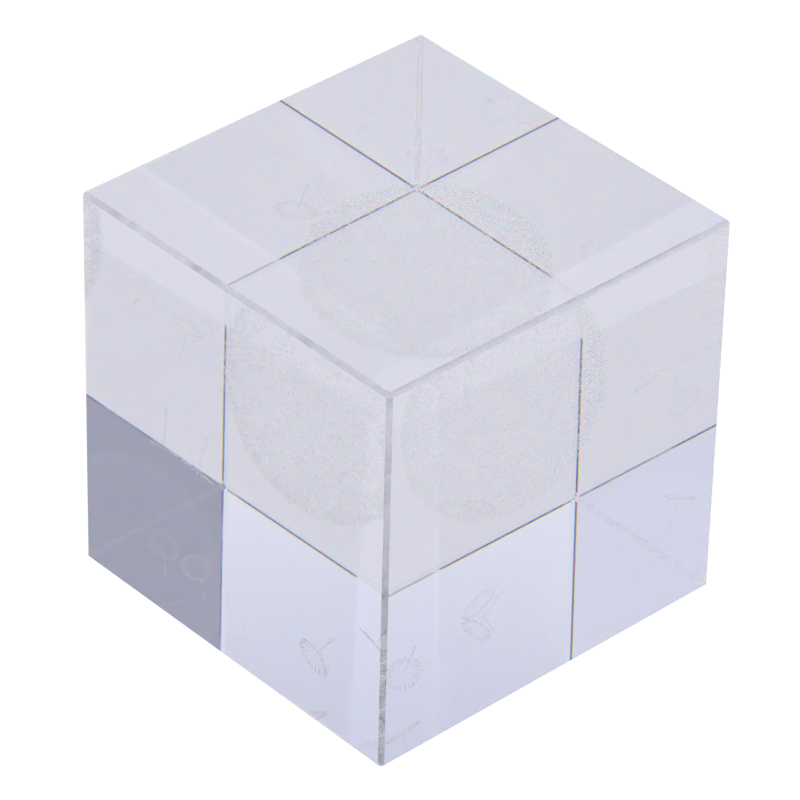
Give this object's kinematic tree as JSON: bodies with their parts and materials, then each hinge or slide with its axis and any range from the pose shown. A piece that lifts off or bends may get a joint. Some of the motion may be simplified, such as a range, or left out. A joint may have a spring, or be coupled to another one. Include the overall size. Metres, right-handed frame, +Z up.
{
  "type": "engraved glass display cube",
  "caption": "Solid clear glass cube with bevelled edges and a round seed-head with drifting seeds engraved inside the block; stands loose on a shelf or plinth.",
  "frame": {"origin": "middle of the base face, on the surface that the cube stands on", "axes": "+Z up, through the top face; the four sides face -X, +X, -Y and +Y, and the head is a little towards +Y of the middle"},
  "size_m": [0.05, 0.05, 0.05],
  "materials": {
    "clear_glass": "polished, colourless",
    "crazed_glass": "fine white cracks inside the glass"
  },
  "bodies": {
    "root": {"glass_block": "clear_glass", "head_core": "crazed_glass", "head_achenes": "crazed_glass", "head_stalks": "crazed_glass", "head_tufts": "crazed_glass", "low_front_seed": "crazed_glass", "low_right_seed": "crazed_glass", "low_left_seed": "crazed_glass", "upper_left_seed": "crazed_glass", "rear_corner_seed": "crazed_glass", "rear_right_seed": "crazed_glass"}
  },
  "joints": []
}
